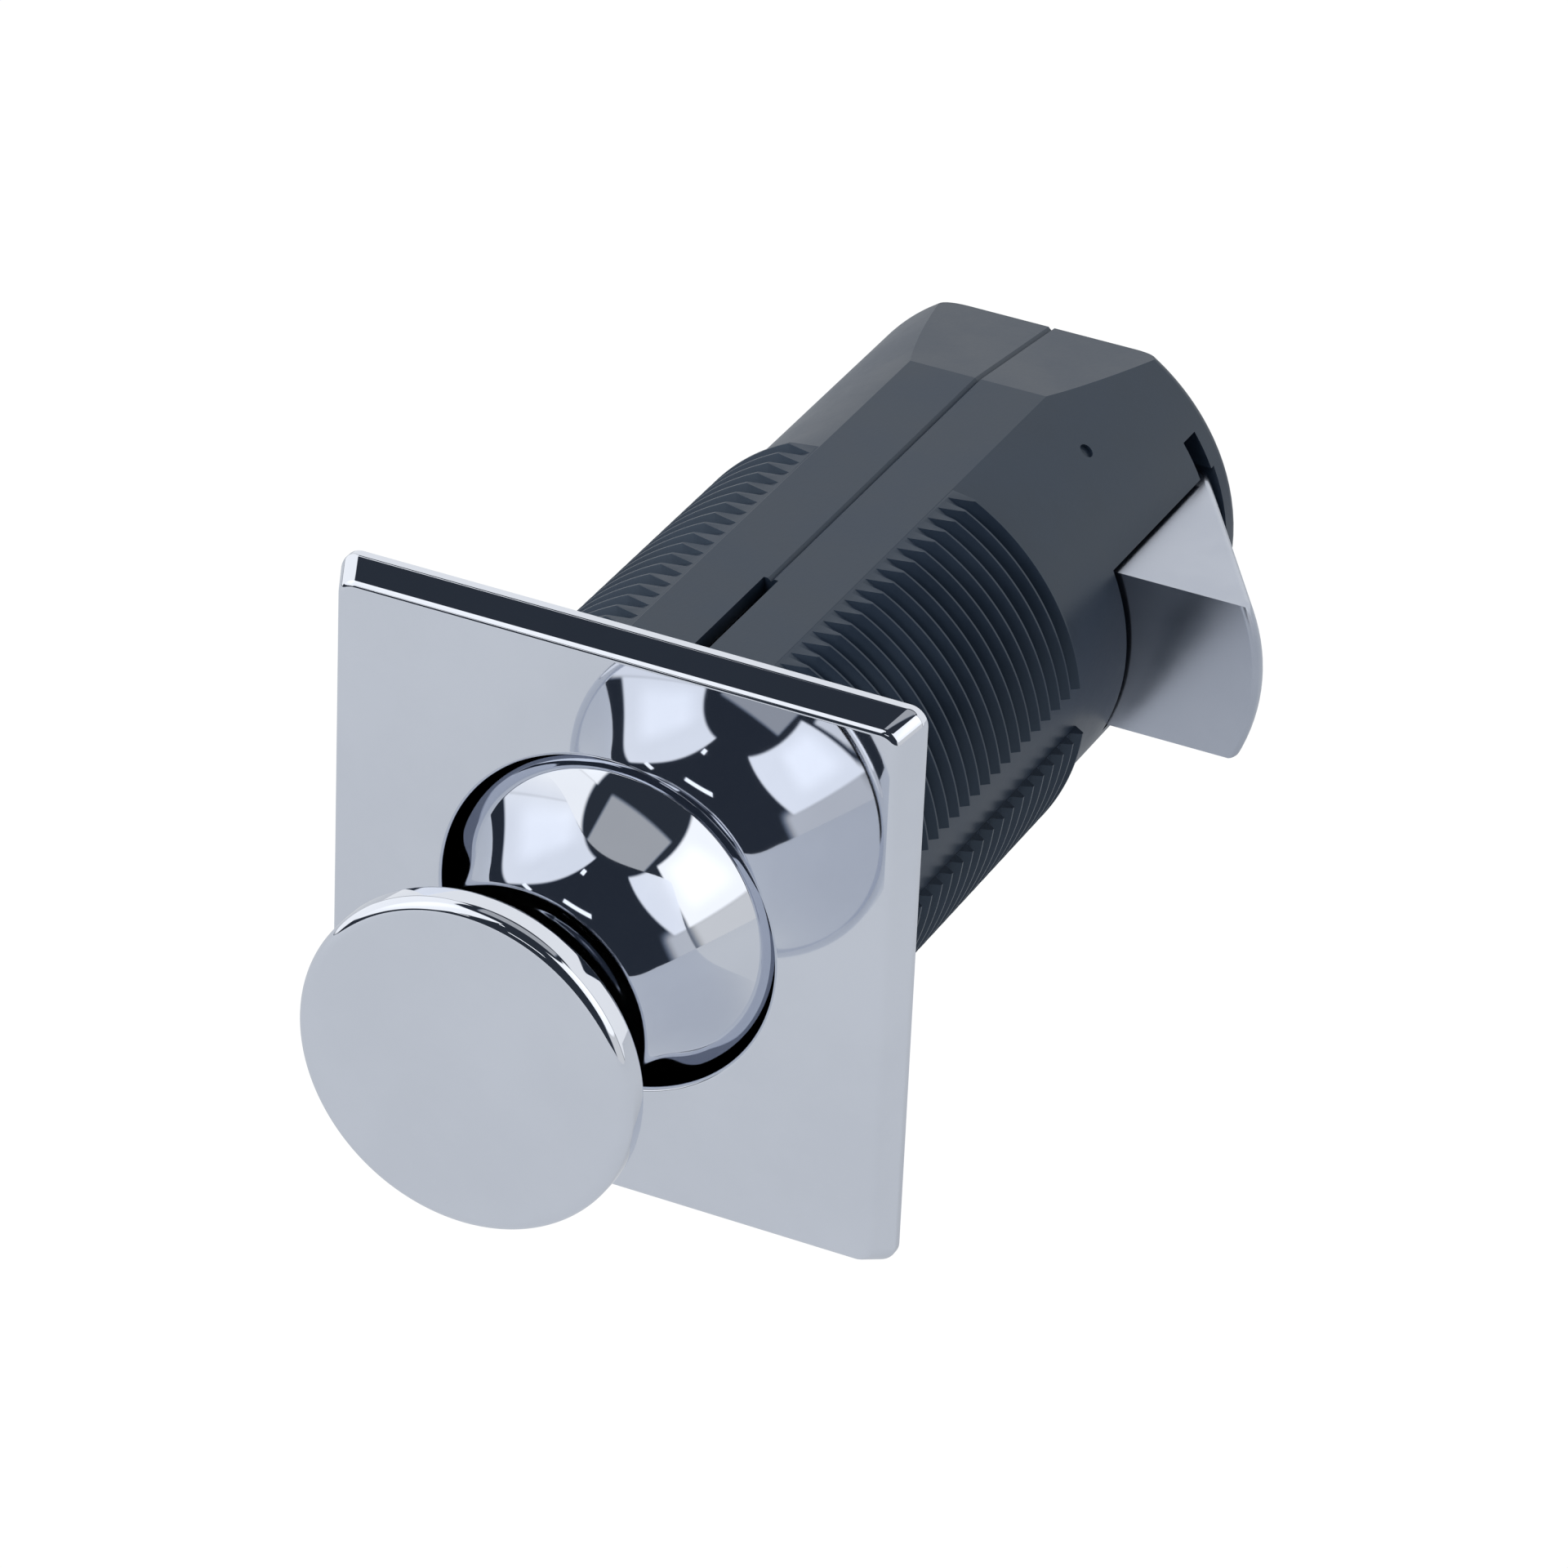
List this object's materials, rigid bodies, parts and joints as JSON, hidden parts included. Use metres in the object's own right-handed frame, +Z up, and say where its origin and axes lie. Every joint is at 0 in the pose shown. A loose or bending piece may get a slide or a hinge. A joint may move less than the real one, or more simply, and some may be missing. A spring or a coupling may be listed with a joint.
{
  "type": "pushbutton latch",
  "caption": "Push-knob cabinet latch: square chrome faceplate, pop-out knob, black threaded barrel with flats, and a bevelled slam bolt at its rear side.",
  "frame": {"origin": "on the barrel's axis, in the back face of the faceplate, where it meets the door", "axes": "+Y back along the barrel, +X the way the bolt points, +Z up; the knob faces -Y"},
  "size_m": [0.0427, 0.0822, 0.039],
  "materials": {
    "chrome": "polished",
    "black_plastic": "satin, moulded",
    "zinc": "satin die-cast, zinc plated",
    "acetal": "satin, moulded",
    "steel": "bright, stamped or drawn",
    "spring_steel": "bright drawn wire"
  },
  "bodies": {
    "base": {"faceplate": "chrome", "housing_left": "black_plastic", "housing_right": "black_plastic", "thread_upper_right": "black_plastic", "thread_lower_right": "black_plastic", "thread_upper_left": "black_plastic", "thread_lower_left": "black_plastic", "spring_rod": "steel", "bolt_spring": "spring_steel"},
    "carriage": {"carriage": "acetal", "spring_seat": "acetal", "cam_plate_top": "steel", "cam_plate_bottom": "steel", "cam_wire": "steel", "main_spring": "spring_steel"},
    "knob": {"knob": "chrome", "plunger": "acetal", "stem_screw": "steel"},
    "bolt": {"bolt": "zinc", "drive_pin": "steel"}
  },
  "joints": [
    {"name": "carriage_pull", "type": "slide", "parent": "base", "child": "carriage", "axis": [0, -1, 0], "range_m": [0, 0.0082]},
    {"name": "knob_push", "type": "slide", "parent": "carriage", "child": "knob", "axis": [0, 1, 0], "range_m": [0, 0.0175], "stiffness_N_per_m": 600, "springref_m": -0.01, "deforming": ["main_spring"]},
    {"name": "bolt_slide", "type": "slide", "parent": "base", "child": "bolt", "axis": [-1, 0, 0], "range_m": [0, 0.0082], "stiffness_N_per_m": 1500, "springref_m": -0.004, "deforming": ["bolt_spring"]}
  ],
  "couplings": [
    {"joint": "bolt_slide", "follows": "carriage_pull", "ratio": 1}
  ]
}
